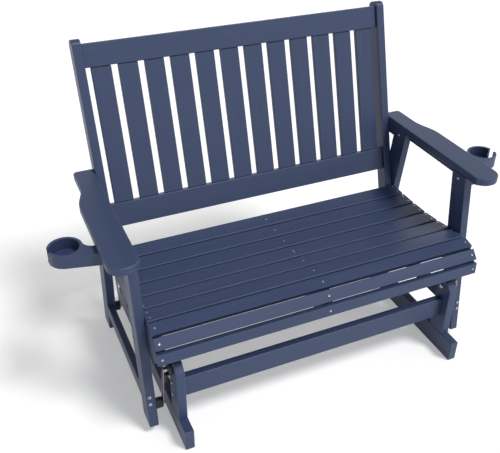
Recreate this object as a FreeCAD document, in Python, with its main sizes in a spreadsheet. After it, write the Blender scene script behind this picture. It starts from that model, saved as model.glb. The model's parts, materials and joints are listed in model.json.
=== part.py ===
import FreeCAD, Part
import math
import os
from types import SimpleNamespace

import Sketcher

# Two-seat glider bench: a slatted chair that swings on four short links from a floor base.
# Millimetres and degrees. +Z is up, +X is to the right of someone facing the bench,
# and the sitter looks along -Y.
# The origin is on the floor, under the middle of the bench's outline.

SIZES = (
    # Boards of the frame
    ("frame_board", 28.6),
    ("leg_depth", 68.8),
    ("leg_foot_height", 29.0),
    ("front_leg_reach", 167.7),
    ("front_leg_rake", 7.31),
    ("rear_leg_reach", 169.5),
    ("rear_leg_rake", 7.53),
    ("lower_rail_thickness", 22.4),
    ("lower_rail_height", 51.0),
    ("lower_rail_underside", 97.0),
    # Seat
    ("seat_length", 1080.0),
    ("seat_end_gap", 0.8),
    ("seat_board", 16.0),
    ("seat_slat_width", 62.1),
    ("seat_slat_gap", 8.0),
    ("nose_top_width", 40.9),
    ("nose_middle_width", 36.3),
    ("nose_front_width", 38.8),
    ("nose_top_gap", 10.3),
    ("nose_front_gap", 13.2),
    ("seat_post_gap", 12.3),
    ("seat_rear_height", 394.5),
    ("seat_slat_angle_1", -2.80),
    ("seat_slat_angle_2", -0.64),
    ("seat_slat_angle_3", 1.53),
    ("seat_slat_angle_4", 5.04),
    ("seat_slat_angle_5", 8.88),
    ("seat_slat_angle_6", 7.78),
    ("seat_slat_angle_7", -14.73),
    ("seat_slat_angle_8", -49.42),
    ("seat_slat_angle_9", -87.91),
    ("seat_rail_drop", 90.5),
    # Back
    ("back_recline", 16.44),
    ("back_reach", 226.5),
    ("back_opening_sill", 523.5),
    ("back_opening", 431.2),
    ("back_top_rail_height", 71.7),
    ("back_bottom_rail_height", 78.4),
    ("back_rail_thickness", 26.0),
    ("back_slat_count", 12),
    ("back_slat_width", 63.0),
    ("back_slat_thickness", 16.0),
    ("back_end_gap", 18.0),
    ("back_slat_recess", 4.0),
    ("post_depth", 53.0),
    ("post_proud", 10.4),
    ("post_top_rise", 15.0),
    ("post_top_round", 20.0),
    ("post_drop", 230.0),
    # Arms
    ("arm_top_height", 635.2),
    ("arm_thickness", 25.2),
    ("arm_width", 88.7),
    ("arm_waist_width", 64.0),
    ("arm_front_reach", 272.0),
    ("arm_rear_reach", 282.5),
    ("arm_nose_round", 42.0),
    ("arm_nose_slope_width", 26.0),
    ("arm_nose_slope_depth", 22.5),
    ("arm_tail_round", 12.0),
    ("arm_sweep_rear", 161.0),
    ("arm_sweep_front", 87.0),
    ("arm_sweep_round", 150.0),
    ("arm_rail_thickness", 28.0),
    ("arm_rail_height", 32.0),
    # Cup holders
    ("cup_reach", 136.0),
    ("cup_ahead", 77.0),
    ("cup_radius", 40.5),
    ("cup_wall", 8.0),
    ("cup_height", 40.0),
    ("cup_floor", 5.0),
    ("cup_slot", 24.0),
    ("cup_neck_front", 74.0),
    ("cup_neck_rear", 25.0),
    ("cup_neck_fillet", 30.0),
    # Floor base
    ("link_space", 50.6),
    ("runner_length", 752.6),
    ("runner_height", 73.8),
    ("upright_depth", 68.0),
    ("upright_reach", 286.5),
    ("upright_below_seat_rail", 22.0),
    ("upright_chamfer", 25.0),
    ("stretcher_thickness", 26.0),
    ("stretcher_height", 73.7),
    ("stretcher_drop", 147.5),
    ("stretcher_reach", 278.0),
    # Swing links and pivots
    ("upper_pivot_reach", 277.0),
    ("lower_pivot_reach", 248.0),
    ("pivot_below_top", 28.5),
    ("link_drop", 158.5),
    ("strap_width", 20.0),
    ("strap_thickness", 4.5),
    ("block_half_width", 17.0),
    ("block_drop", 10.0),
    ("block_tail", 55.0),
    ("spacer_radius", 17.0),
    ("disc_radius", 22.5),
    ("disc_thickness", 12.0),
    ("pivot_radius", 5.0),
    ("pivot_head_radius", 7.5),
    ("pivot_head_height", 5.0),
    ("pivot_nut_circumradius", 9.0),
    ("pivot_cap_height", 4.0),
    ("pivot_cap_floor", 1.0),
    ("pin_head_height", 2.5),
    ("pin_end_wall", 2.0),
    ("running_clearance", 0.05),
    ("open_pivot_clearance", 1.5),
    ("side_clearance", 0.3),
    # Fasteners
    ("screw_radius", 2.25),
    ("screw_head_radius", 3.8),
    ("screw_head_height", 1.2),
    ("screw_length", 42.0),
    ("screw_pair_spacing", 32.0),
    ("bolt_radius", 4.0),
    ("bolt_head_radius", 5.5),
    ("bolt_head_height", 3.0),
    ("bolt_bite", 22.0),
    ("leg_bolt_bite", 30.0),
    ("end_bolt_bite", 45.0),
    ("hole_clearance", 0.1),
    ("seat_bolt_high_drop", 31.5),
    ("seat_bolt_low_drop", 73.5),
    ("seat_bolt_setback", 19.0),
    ("post_bolt_low_rise", 46.7),
    ("post_bolt_high_rise", 92.7),
    ("lower_bolt_high", 142.0),
    ("lower_bolt_low", 117.0),
    ("stretcher_bolt_inset", 10.5),
    ("stretcher_bolt_spacing", 48.0),
    ("runner_bolt_spacing", 34.0),
    ("runner_bolt_recess", 14.0),
)

SIDES = (("left", -1), ("right", 1))
ENDS = (("front", -1), ("rear", 1))

doc = FreeCAD.newDocument("glider_bench")
sheet = doc.addObject("Spreadsheet::Sheet", "Sizes")
for row, (alias, value) in enumerate(SIZES, start=1):
    sheet.set(f"A{row}", alias)
    sheet.set(f"B{row}", str(value))
    sheet.setAlias(f"B{row}", alias)
doc.recompute()
d = SimpleNamespace(**{alias: float(sheet.get(alias)) for alias, value in SIZES})

nodes = []


def vector(x, y, z):
    return FreeCAD.Vector(x, y, z)


def keep(item, label):
    """Name a finished piece and list it for export."""
    item.Label = label
    nodes.append(item)
    return item


def bind(item, **expressions):
    """Tie an object's sizes to the sheet."""
    for name, text in expressions.items():
        item.setExpression(name, text)
    return item


# Heights, reaches and planes that several pieces share

half_seat = d.seat_length / 2
leg_inner = half_seat + d.seat_end_gap
leg_outer = leg_inner + d.frame_board
post_inner = leg_inner - d.frame_board
post_middle = (post_inner + leg_inner) / 2
base_outer = leg_inner - d.link_space
base_inner = base_outer - d.frame_board
arm_rail_outer = leg_outer + d.arm_rail_thickness
arm_underside = d.arm_top_height - d.arm_thickness
arm_rail_underside = arm_underside - d.arm_rail_height
lower_rail_top = d.lower_rail_underside + d.lower_rail_height
lower_rail_inner = leg_outer - d.lower_rail_thickness
seat_rail_underside = d.seat_rear_height - d.seat_rail_drop
seat_bolt_heights = [d.seat_rear_height - drop for drop in (d.seat_bolt_high_drop, d.seat_bolt_low_drop)]
upright_top = seat_rail_underside - d.upright_below_seat_rail
upper_pivot_z = upright_top - d.pivot_below_top
lower_pivot_z = upper_pivot_z - d.link_drop
stretcher_underside = upright_top - d.stretcher_drop
stretcher_bolt_low = stretcher_underside + d.stretcher_bolt_inset
stretcher_bolt_high = stretcher_bolt_low + d.stretcher_bolt_spacing
recline = math.radians(d.back_recline)


def back_point(along, ahead):
    """Point (y, z) measured up the back from the opening's sill and ahead of the rails' front faces."""
    y = d.back_reach + along * math.sin(recline) - ahead * math.cos(recline)
    z = d.back_opening_sill + along * math.cos(recline) + ahead * math.sin(recline)
    return y, z


post_top = d.back_opening + d.back_top_rail_height + d.post_top_rise
post_behind = d.post_proud - d.post_depth
round_centre = back_point(post_top - d.post_top_round, post_behind + d.post_top_round)
bench_front = -d.runner_length / 2
bench_rear = max(round_centre[0] + d.post_top_round, d.runner_length / 2)

# Lengths along Y are worked out from the plane midway between the front and rear pivots.
# glide_y is that plane's place in the bench's own frame.
glide_y = -(bench_front + bench_rear) / 2


def front_leg_face(z):
    """Y of the front leg's front face at a height."""
    drop = (arm_underside - z) * math.tan(math.radians(d.front_leg_rake))
    return -d.front_leg_reach - drop - d.leg_depth / 2


def rear_leg_face(z):
    """Y of the rear leg's front face at a height."""
    drop = (arm_underside - z) * math.tan(math.radians(d.rear_leg_rake))
    return d.rear_leg_reach + drop - d.leg_depth / 2


LEG_FACES = {"front": front_leg_face, "rear": rear_leg_face}
LEG_RAKES = {"front": math.radians(d.front_leg_rake), "rear": math.radians(d.rear_leg_rake)}


def post_face(z):
    """Y of the back post's front face at a height."""
    foot_y, foot_z = back_point(0, d.post_proud)
    return foot_y + (z - foot_z) * math.tan(recline)


def post_centre(z):
    """Y of the back post's middle line at a height."""
    return post_face(z) + d.post_depth / math.cos(recline) / 2


seat_rear = post_face(d.seat_rear_height) - d.seat_post_gap
post_foot_z = back_point(-d.post_drop, (d.post_proud + post_behind) / 2)[1]
post_bolt_heights = [post_foot_z + rise for rise in (d.post_bolt_high_rise, d.post_bolt_low_rise)]


# Outlines and boards

# Ends of two arcs closer than this need no line between them
SAME_SPOT = 1e-6


def outline(corners):
    """Closed run of lines and tangent arcs through corners (x, y) or (x, y, round)."""
    count = len(corners)
    points = [vector(corner[0], corner[1], 0) for corner in corners]
    rounds = [corner[2] if len(corner) > 2 else 0 for corner in corners]
    starts = []
    ends = []
    arcs = []
    for index, point in enumerate(points):
        back = (points[index - 1] - point).normalize()
        ahead = (points[(index + 1) % count] - point).normalize()
        if not rounds[index]:
            starts.append(point)
            ends.append(point)
            arcs.append(None)
            continue
        half = back.getAngle(ahead) / 2
        setback = rounds[index] / math.tan(half)
        middle = (back + ahead).normalize()
        crown = point + middle * (rounds[index] / math.sin(half) - rounds[index])
        starts.append(point + back * setback)
        ends.append(point + ahead * setback)
        arcs.append(Part.Arc(starts[-1], crown, ends[-1]))
    curves = []
    for index in range(count):
        if arcs[index]:
            curves.append(arcs[index])
        start = ends[index]
        end = starts[(index + 1) % count]
        if not start.isEqual(end, SAME_SPOT):
            curves.append(Part.LineSegment(start, end))
    return curves


def sketch_on(body, role, curves):
    """Closed sketch on one of the body's own planes."""
    sketch = body.newObject("Sketcher::SketchObject", body.Name + "_outline")
    plane = next(item for item in body.Origin.OriginFeatures if item.Role == role)
    sketch.AttachmentSupport = [(plane, "")]
    sketch.MapMode = "FlatFace"
    sketch.addGeometry(curves, False)
    return sketch


def padded(label, role, curves, depth, place):
    """Board cut to an outline: depth is an expression, place the board's corner."""
    body = doc.addObject("PartDesign::Body", label)
    sketch = sketch_on(body, role, curves)
    pad = body.newObject("PartDesign::Pad", label + "_pad")
    pad.Profile = sketch
    bind(pad, Length=depth)
    body.Placement.Base = place
    return body


def side_board(label, side, inner, corners, depth, thickness):
    """Board standing in a plane across X, its inner face at a distance from the middle."""
    start = inner if side > 0 else -inner - thickness
    return padded(label, "YZ_Plane", outline(corners), depth, vector(start, glide_y, 0))


def box(label, length, width, height, placement):
    item = doc.addObject("Part::Box", label)
    bind(item, Length=length, Width=width, Height=height)
    item.Placement = placement
    return item


def at(x, y, z, tilt=0):
    """Placement in the bench's frame, tipped about X."""
    return FreeCAD.Placement(vector(x, y + glide_y, z), FreeCAD.Rotation(vector(1, 0, 0), tilt))


def facing(spot):
    """Placement that sets a fastener's head underside at a spot, with its shank along the spot's way."""
    point, way = spot
    turn = FreeCAD.Rotation(vector(0, 0, -1), way)
    return FreeCAD.Placement(point + vector(0, glide_y, 0), turn)


def copies(shape, spots):
    """Group of separate copies of one fastener."""
    return Part.makeCompound([shape.transformed(facing(spot).toMatrix(), True) for spot in spots])


def group(label, *shapes):
    item = doc.addObject("Part::Feature", label)
    item.Shape = Part.makeCompound([solid for shape in shapes for solid in shape.Solids])
    return keep(item, label)


def with_holes(board, label, *holes):
    """Board with the fasteners' holes taken out: each entry is a hole's shape and its spots."""
    tool = doc.addObject("Part::Feature", label + "_holes")
    tool.Shape = Part.makeCompound([copies(shape, spots) for shape, spots in holes])
    cut = doc.addObject("Part::Cut", label + "_cut")
    cut.Base = board
    cut.Tool = tool
    board.Label = label + "_blank"
    return cut


def drilled(board, label, *holes):
    """Finished board with the fasteners' holes taken out."""
    return keep(with_holes(board, label, *holes), label)


# Fastener patterns: head above the XY plane, shank below it

def rod(name, radius, height, sink):
    """Cylinder about Z whose lower end is a depth below the XY plane."""
    item = doc.addObject("Part::Cylinder", name)
    bind(item, Radius=radius, Height=height)
    item.setExpression("Placement.Base.z", f"-({sink})")
    return item


def headed(name, head_radius, head_height, radius, length):
    """Round-headed fastener pattern."""
    fuse = doc.addObject("Part::Fuse", name)
    fuse.Base = rod(name + "_head", head_radius, head_height, "0")
    fuse.Tool = rod(name + "_shank", radius, length, length)
    return fuse


def hole(name, radius, length):
    """Hole pattern for a shank, deeper than the shank by the holes' clearance."""
    depth = f"{length} + Sizes.hole_clearance"
    return rod(name, f"{radius} + Sizes.hole_clearance", depth, depth)


def ring(name, blank, height):
    """Blank with a pivot's bore through it."""
    cut = doc.addObject("Part::Cut", name)
    cut.Base = blank
    cut.Tool = rod(name + "_bore", PIVOT_BORE, height, height)
    return cut


# Places along a pivot, measured outwards from the base's outer face
strap_start = (d.link_space - d.strap_thickness) / 2
block_start = d.disc_thickness + d.side_clearance
cap_start = strap_start + d.strap_thickness + d.side_clearance
pin_start = strap_start - d.side_clearance

PIVOT_BORE = "Sizes.pivot_radius + Sizes.running_clearance"
OPEN_BORE = "Sizes.pivot_radius + Sizes.open_pivot_clearance"
STRAP_START = "(Sizes.link_space - Sizes.strap_thickness) / 2"
STANDOFF = f"{STRAP_START} - Sizes.side_clearance - Sizes.disc_thickness"
SPACER = f"{STRAP_START} - Sizes.side_clearance"
CAP_DEPTH = "Sizes.pivot_cap_height - Sizes.pivot_cap_floor"
UPPER_BOLT = (f"Sizes.frame_board + {STRAP_START} + Sizes.strap_thickness + Sizes.side_clearance"
              f" + {CAP_DEPTH} - Sizes.running_clearance")
PIN_BITE = "Sizes.frame_board - Sizes.lower_rail_thickness / 2 - Sizes.bolt_radius - Sizes.pin_end_wall"
LOWER_PIN = f"Sizes.link_space - {STRAP_START} + Sizes.side_clearance + {PIN_BITE}"
SIDE_BOLT = "Sizes.frame_board + Sizes.bolt_bite"
LEG_BOLT = "Sizes.leg_depth + Sizes.leg_bolt_bite"
STRETCHER_BOLT = "Sizes.frame_board + Sizes.end_bolt_bite"
RUNNER_BOLT = "Sizes.runner_height - Sizes.runner_bolt_recess + Sizes.end_bolt_bite"

screw = headed("screw", "Sizes.screw_head_radius", "Sizes.screw_head_height",
               "Sizes.screw_radius", "Sizes.screw_length")
screw_hole = hole("screw_hole", "Sizes.screw_radius", "Sizes.screw_length")
bolts = {}
bolt_holes = {}
for name, length in (("side", SIDE_BOLT), ("leg", LEG_BOLT), ("stretcher", STRETCHER_BOLT),
                     ("runner", RUNNER_BOLT)):
    bolts[name] = headed(f"{name}_bolt", "Sizes.bolt_head_radius", "Sizes.bolt_head_height",
                         "Sizes.bolt_radius", length)
    bolt_holes[name] = hole(f"{name}_bolt_hole", "Sizes.bolt_radius", length)
runner_recess = rod("runner_recess", "Sizes.bolt_head_radius + Sizes.hole_clearance",
                    "Sizes.runner_bolt_recess", "0")
upper_bolt = headed("upper_bolt", "Sizes.pivot_head_radius", "Sizes.pivot_head_height",
                    "Sizes.pivot_radius", UPPER_BOLT)
upper_bolt_hole = rod("upper_bolt_hole", PIVOT_BORE, UPPER_BOLT, UPPER_BOLT)
lower_pin = headed("lower_pin", "Sizes.pivot_head_radius", "Sizes.pin_head_height",
                   "Sizes.pivot_radius", LOWER_PIN)
lower_pin_hole = hole("lower_pin_hole", "Sizes.pivot_radius", LOWER_PIN)
lower_eyes = {"front": rod("lower_eye", PIVOT_BORE, LOWER_PIN, LOWER_PIN),
              "rear": rod("open_lower_eye", OPEN_BORE, LOWER_PIN, LOWER_PIN)}
nut_blank = doc.addObject("Part::Prism", "nut_blank")
nut_blank.Polygon = 6
bind(nut_blank, Circumradius="Sizes.pivot_nut_circumradius", Height=STANDOFF)
nut_blank.setExpression("Placement.Base.z", f"-({STANDOFF})")
nut = ring("nut", nut_blank, STANDOFF)
disc = ring("disc", rod("disc_blank", "Sizes.disc_radius", "Sizes.disc_thickness", "Sizes.disc_thickness"),
            "Sizes.disc_thickness")
cap = ring("cap", rod("cap_blank", "Sizes.pivot_head_radius", "Sizes.pivot_cap_height",
                      "Sizes.pivot_cap_height"), CAP_DEPTH)
spacer = ring("spacer", rod("spacer_blank", "Sizes.spacer_radius", SPACER, SPACER), SPACER)
doc.recompute()


# Seat slats, from the back edge to the front

tilts = [math.radians(d.seat_slat_angle_1),
         math.radians(d.seat_slat_angle_2),
         math.radians(d.seat_slat_angle_3),
         math.radians(d.seat_slat_angle_4),
         math.radians(d.seat_slat_angle_5),
         math.radians(d.seat_slat_angle_6),
         math.radians(d.seat_slat_angle_7),
         math.radians(d.seat_slat_angle_8),
         math.radians(d.seat_slat_angle_9)]
widths = ["seat_slat_width"] * 6 + ["nose_top_width", "nose_middle_width", "nose_front_width"]
gaps = [d.seat_slat_gap] * 6 + [d.nose_top_gap, d.nose_front_gap]


def slat_chain():
    """Rear top edge, way forward and upward normal of each seat slat, in the YZ plane."""
    places = []
    edge = vector(0, seat_rear, d.seat_rear_height)
    for index, tilt in enumerate(tilts):
        forward = vector(0, -math.cos(tilt), math.sin(tilt))
        normal = vector(0, math.sin(tilt), math.cos(tilt))
        places.append((edge, forward, normal))
        if index < len(gaps):
            turn = (tilt + tilts[index + 1]) / 2
            step = vector(0, -math.cos(turn), math.sin(turn)) * gaps[index]
            edge = edge + forward * getattr(d, widths[index]) + step
    return places


def slat_screws(index, edge, forward, normal):
    """Screw spots of one seat slat by the rail that they go into."""
    middle = edge + forward * (getattr(d, widths[index]) / 2)
    pair = d.screw_pair_spacing / 2
    shifts = (-pair, pair) if widths[index] == "seat_slat_width" else (0,)
    spots = {"centre": [(middle, -normal)]}
    for name, side in SIDES:
        spots[name] = [(middle + forward * shift + vector(side * post_middle, 0, 0), -normal)
                       for shift in shifts]
    return spots


rail_screws = {"left": [], "centre": [], "right": []}
rail_top = []
for index, (edge, forward, normal) in enumerate(slat_chain()):
    label = f"seat_slat_{index + 1}"
    front = edge + forward * getattr(d, widths[index])
    corner = front - normal * d.seat_board
    slat = box(label, "Sizes.seat_length", f"Sizes.{widths[index]}", "Sizes.seat_board",
               at(-half_seat, corner.y, corner.z, -math.degrees(tilts[index])))
    spots = slat_screws(index, edge, forward, normal)
    drilled(slat, label, (screw_hole.Shape, [spot for rail in spots.values() for spot in rail]))
    for rail, rail_spots in spots.items():
        rail_screws[rail] += rail_spots
    rear_corner = edge - normal * d.seat_board
    rail_top += [(rear_corner.y, rear_corner.z), (corner.y, corner.z)]
group("seat_screws", *(copies(screw.Shape, spots) for spots in rail_screws.values()))


# Bolts of the chair, by the pieces that they pass through

def leg_centre(end_name, z):
    """Y of a leg's middle line at a height."""
    return LEG_FACES[end_name](z) + d.leg_depth / 2


def leg_bolt_spot(end_name, end, x, z):
    """Bolt through a leg's outer edge, square to the raked edge, into the lower rail."""
    rake = LEG_RAKES[end_name]
    edge = leg_centre(end_name, z) + end * d.leg_depth / 2
    return vector(x, edge, z), vector(0, -end * math.cos(rake), -math.sin(rake))


side_spots = {}
leg_spots = {}
for side_name, side in SIDES:
    inward = vector(-side, 0, 0)
    side_spots["seat", side_name] = [
        (vector(side * leg_outer, leg_centre("front", z) + d.seat_bolt_setback, z), inward)
        for z in seat_bolt_heights]
    side_spots["post", side_name] = [
        (vector(side * leg_outer, post_centre(z), z), inward)
        for z in post_bolt_heights]
    rail_z = arm_underside - d.arm_rail_height / 2
    for end_name, end in ENDS:
        side_spots["arm", end_name, side_name] = [
            (vector(side * leg_inner, leg_centre(end_name, rail_z), rail_z), -inward)]
        rail_x = side * (lower_rail_inner + d.lower_rail_thickness / 2)
        leg_spots[end_name, side_name] = [leg_bolt_spot(end_name, end, rail_x, z)
                                          for z in (d.lower_bolt_high, d.lower_bolt_low)]
group("chair_bolts",
      *(copies(bolts["side"].Shape, spots) for spots in side_spots.values()),
      *(copies(bolts["leg"].Shape, spots) for spots in leg_spots.values()))


# Pivots at the four corners, with the discs and caps beside the links and the spacers on the legs

upper_spots = {}
disc_spots = {}
nut_spots = {}
cap_spots = {}
lower_spots = {}
spacer_spots = {}


def pivot_spot(side, reach, out, height, way):
    """Spot on a pivot's line, a distance outwards from the base's outer face."""
    return vector(side * (base_outer + out), reach, height), vector(side * way, 0, 0)


for side_name, side in SIDES:
    for end_name, end in ENDS:
        corner = end_name, side_name
        upper = end * d.upper_pivot_reach
        upper_spots[corner] = pivot_spot(side, upper, -d.frame_board, upper_pivot_z, 1)
        disc_spots[corner] = pivot_spot(side, upper, 0, upper_pivot_z, 1)
        nut_spots[corner] = pivot_spot(side, upper, d.disc_thickness, upper_pivot_z, 1)
        cap_spots[corner] = pivot_spot(side, upper, cap_start, upper_pivot_z, 1)
        lower = end * d.lower_pivot_reach
        lower_spots[corner] = pivot_spot(side, lower, pin_start, lower_pivot_z, 1)
        spacer_spots[corner] = pivot_spot(side, lower, d.link_space, lower_pivot_z, -1)
group("upper_pivot_bolts", copies(upper_bolt.Shape, upper_spots.values()),
      copies(nut.Shape, nut_spots.values()))
group("lower_pivot_pins", copies(lower_pin.Shape, lower_spots.values()))
group("bearing_discs", copies(disc.Shape, disc_spots.values()), copies(cap.Shape, cap_spots.values()))
group("lower_pivot_spacers", copies(spacer.Shape, spacer_spots.values()))


# Seat rails that carry the slats

first_y, first_z = rail_top[0]
last_y, last_z = rail_top[-1]
rail_heel = last_z - seat_rail_underside
rail_corners = ([(post_face(first_z), first_z)] + rail_top
                + [(last_y + rail_heel, seat_rail_underside),
                   (post_face(seat_rail_underside), seat_rail_underside)])
for side_name, side in SIDES:
    label = f"seat_side_rail_{side_name}"
    rail = side_board(label, side, post_inner, rail_corners, "Sizes.frame_board", d.frame_board)
    drilled(rail, label, (screw_hole.Shape, rail_screws[side_name]),
            (bolt_holes["side"].Shape, side_spots["seat", side_name]))
centre_rail = side_board("seat_centre_rail", 1, -d.frame_board / 2, rail_corners, "Sizes.frame_board",
                         d.frame_board)
drilled(centre_rail, "seat_centre_rail", (screw_hole.Shape, rail_screws["centre"]))


# Legs and the rails between them

for side_name, side in SIDES:
    for end_name, end in ENDS:
        label = f"{end_name}_leg_{side_name}"
        face = LEG_FACES[end_name]
        corners = [(face(d.leg_foot_height), d.leg_foot_height),
                   (face(d.leg_foot_height) + d.leg_depth, d.leg_foot_height),
                   (face(arm_underside) + d.leg_depth, arm_underside),
                   (face(arm_underside), arm_underside)]
        leg = side_board(label, side, leg_inner, corners, "Sizes.frame_board", d.frame_board)
        across = side_spots["seat" if end < 0 else "post", side_name]
        drilled(leg, label, (bolt_holes["side"].Shape, across + side_spots["arm", end_name, side_name]),
                (bolt_holes["leg"].Shape, leg_spots[end_name, side_name]),
                (lower_pin_hole.Shape, [lower_spots[end_name, side_name]]))
    label = f"lower_rail_{side_name}"
    corners = [(front_leg_face(d.lower_rail_underside) + d.leg_depth, d.lower_rail_underside),
               (rear_leg_face(d.lower_rail_underside), d.lower_rail_underside),
               (rear_leg_face(lower_rail_top), lower_rail_top),
               (front_leg_face(lower_rail_top) + d.leg_depth, lower_rail_top)]
    rail = side_board(label, side, lower_rail_inner, corners, "Sizes.lower_rail_thickness",
                      d.lower_rail_thickness)
    drilled(rail, label, (bolt_holes["leg"].Shape,
                          leg_spots["front", side_name] + leg_spots["rear", side_name]))
    label = f"arm_rail_{side_name}"
    rail_front = front_leg_face(arm_underside)
    rail_rear = rear_leg_face(arm_underside) + d.leg_depth
    corners = [(rail_front, arm_rail_underside), (rail_rear, arm_rail_underside),
               (rail_rear, arm_underside), (rail_front, arm_underside)]
    rail = side_board(label, side, leg_outer, corners, "Sizes.arm_rail_thickness", d.arm_rail_thickness)
    drilled(rail, label, (bolt_holes["side"].Shape, side_spots["arm", "front", side_name]
                          + side_spots["arm", "rear", side_name]))


# Back: two posts, two rails and the slats between them

post_corners = [back_point(-d.post_drop, d.post_proud), back_point(-d.post_drop, post_behind),
                back_point(post_top, post_behind) + (d.post_top_round,),
                back_point(post_top, d.post_proud) + (d.post_top_round,)]
for side_name, side in SIDES:
    label = f"back_post_{side_name}"
    post = side_board(label, side, post_inner, post_corners, "Sizes.frame_board", d.frame_board)
    drilled(post, label, (bolt_holes["side"].Shape, side_spots["post", side_name]))


def back_board(label, left, along, ahead, length, thickness, height):
    """Board lying in the back's plane, from its lower left corner and its front face."""
    y, z = back_point(along, ahead)
    return keep(box(label, length, thickness, height, at(left, y, z, -d.back_recline)), label)


BACK_SPAN = "2 * (Sizes.seat_length / 2 + Sizes.seat_end_gap - Sizes.frame_board)"
back_board("back_rail_top", -post_inner, d.back_opening, 0, BACK_SPAN, "Sizes.back_rail_thickness",
           "Sizes.back_top_rail_height")
back_board("back_rail_bottom", -post_inner, -d.back_bottom_rail_height, 0, BACK_SPAN,
           "Sizes.back_rail_thickness", "Sizes.back_bottom_rail_height")
slat_count = int(d.back_slat_count)
back_gap = (2 * (post_inner - d.back_end_gap) - slat_count * d.back_slat_width) / (slat_count - 1)
for index in range(slat_count):
    left = -post_inner + d.back_end_gap + index * (d.back_slat_width + back_gap)
    back_board(f"back_slat_{index + 1:02d}", left, 0, -d.back_slat_recess, "Sizes.back_slat_width",
               "Sizes.back_slat_thickness", "Sizes.back_opening")


# Armrests

def mirrored(corners, side):
    """Plan outline for one side of the bench."""
    return [(side * corner[0],) + tuple(corner[1:]) for corner in corners]


arm_outer = leg_inner + d.arm_width
arm_waist = leg_inner + d.arm_waist_width
arm_corners = [(leg_inner, d.arm_rear_reach),
               (arm_waist, d.arm_rear_reach, d.arm_tail_round),
               (arm_waist, d.arm_sweep_rear, d.arm_sweep_round),
               (arm_outer, d.arm_sweep_front, d.arm_sweep_round),
               (arm_outer, -d.arm_front_reach, d.arm_nose_round),
               (leg_inner + d.arm_nose_slope_width, -d.arm_front_reach, d.arm_nose_round),
               (leg_inner, d.arm_nose_slope_depth - d.arm_front_reach)]
for side_name, side in SIDES:
    label = f"armrest_{side_name}"
    arm = padded(label, "XY_Plane", outline(mirrored(arm_corners, side)), "Sizes.arm_thickness",
                 vector(0, glide_y, arm_underside))
    keep(arm, label)

cleat_corners = [(rear_leg_face(arm_rail_underside) + d.leg_depth, arm_rail_underside),
                 (d.arm_rear_reach, arm_rail_underside), (d.arm_rear_reach, arm_underside),
                 (rear_leg_face(arm_underside) + d.leg_depth, arm_underside)]
cleats = [side_board(f"arm_cleat_{side_name}", side, leg_inner, cleat_corners, "Sizes.frame_board",
                     d.frame_board)
          for side_name, side in SIDES]
doc.recompute()
group("arm_cleats", *(cleat.Shape for cleat in cleats))


# Cup holders: an open ring with a slot for a mug's handle, on a neck under the arm

cup_x = leg_outer + d.cup_reach
cup_y = -d.cup_ahead
ring_radius = d.cup_radius + d.cup_wall


def cup_outline(side):
    """Plan outline of the neck and the ring, about the ring's middle."""
    root = arm_rail_outer - cup_x
    away = math.hypot(root, d.cup_neck_front)
    bearing = math.atan2(-d.cup_neck_front, root)
    touch = bearing + math.acos(ring_radius / away)
    reach = ring_radius + d.cup_neck_fillet
    fillet_y = d.cup_neck_fillet - d.cup_neck_rear
    fillet_x = -math.sqrt(reach ** 2 - fillet_y ** 2)
    parting = math.atan2(fillet_y, fillet_x)
    meeting = math.atan2(-fillet_y, -fillet_x)

    def spot(x, y):
        return vector(side * x, y, 0)

    def on_ring(angle):
        return spot(ring_radius * math.cos(angle), ring_radius * math.sin(angle))

    def on_fillet(angle):
        return spot(fillet_x + d.cup_neck_fillet * math.cos(angle),
                    fillet_y + d.cup_neck_fillet * math.sin(angle))

    front_root = spot(root, -d.cup_neck_front)
    rear_root = spot(root, -d.cup_neck_rear)
    fillet_foot = on_fillet(-math.pi / 2)
    fillet_top = on_fillet(meeting)
    fillet_middle = on_fillet((meeting - math.pi / 2) / 2)
    return [Part.LineSegment(front_root, on_ring(touch)),
            Part.Arc(on_ring(touch), on_ring((touch + parting) / 2), fillet_top),
            Part.Arc(fillet_top, fillet_middle, fillet_foot),
            Part.LineSegment(fillet_foot, rear_root),
            Part.LineSegment(rear_root, front_root)]


CUP_DEPTH = "Sizes.cup_height - Sizes.cup_floor"
cup_underside = arm_underside - d.cup_height
for side_name, side in SIDES:
    label = f"cup_holder_{side_name}"
    place = vector(side * cup_x, cup_y + glide_y, cup_underside)
    blank = padded(label + "_blank", "XY_Plane", cup_outline(side), "Sizes.cup_height", place)
    well = doc.addObject("Part::Cylinder", label + "_well")
    bind(well, Radius="Sizes.cup_radius", Height=CUP_DEPTH)
    well.Placement.Base = place + vector(0, 0, d.cup_floor)
    slot_start = 0 if side > 0 else -ring_radius
    slot = doc.addObject("Part::Box", label + "_slot")
    bind(slot, Length="Sizes.cup_radius + Sizes.cup_wall", Width="Sizes.cup_slot", Height=CUP_DEPTH)
    slot.Placement.Base = place + vector(slot_start, -d.cup_slot / 2, d.cup_floor)
    space = doc.addObject("Part::Fuse", label + "_space")
    space.Base = well
    space.Tool = slot
    holder = doc.addObject("Part::Cut", label)
    holder.Base = blank
    holder.Tool = space
    keep(holder, label)


# Swing links: steel straps that lean inwards from the upper pivots to the lower ones, each with a
# moulded block on its inner side

lean = d.upper_pivot_reach - d.lower_pivot_reach
half_strap = d.strap_width / 2
strap_foot = -math.hypot(lean, d.link_drop) - half_strap
strap_corners = [(half_strap, half_strap, half_strap), (-half_strap, half_strap, half_strap),
                 (-half_strap, strap_foot, half_strap), (half_strap, strap_foot, half_strap)]
block_corners = [(d.block_half_width, -d.block_drop), (-d.block_half_width, -d.block_drop),
                 (-half_strap, -d.block_tail), (half_strap, -d.block_tail)]
LINK_LAYERS = (("strap", strap_corners, strap_start, "Sizes.strap_thickness", d.strap_thickness),
               ("block", block_corners, block_start, STANDOFF, strap_start - block_start))


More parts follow.
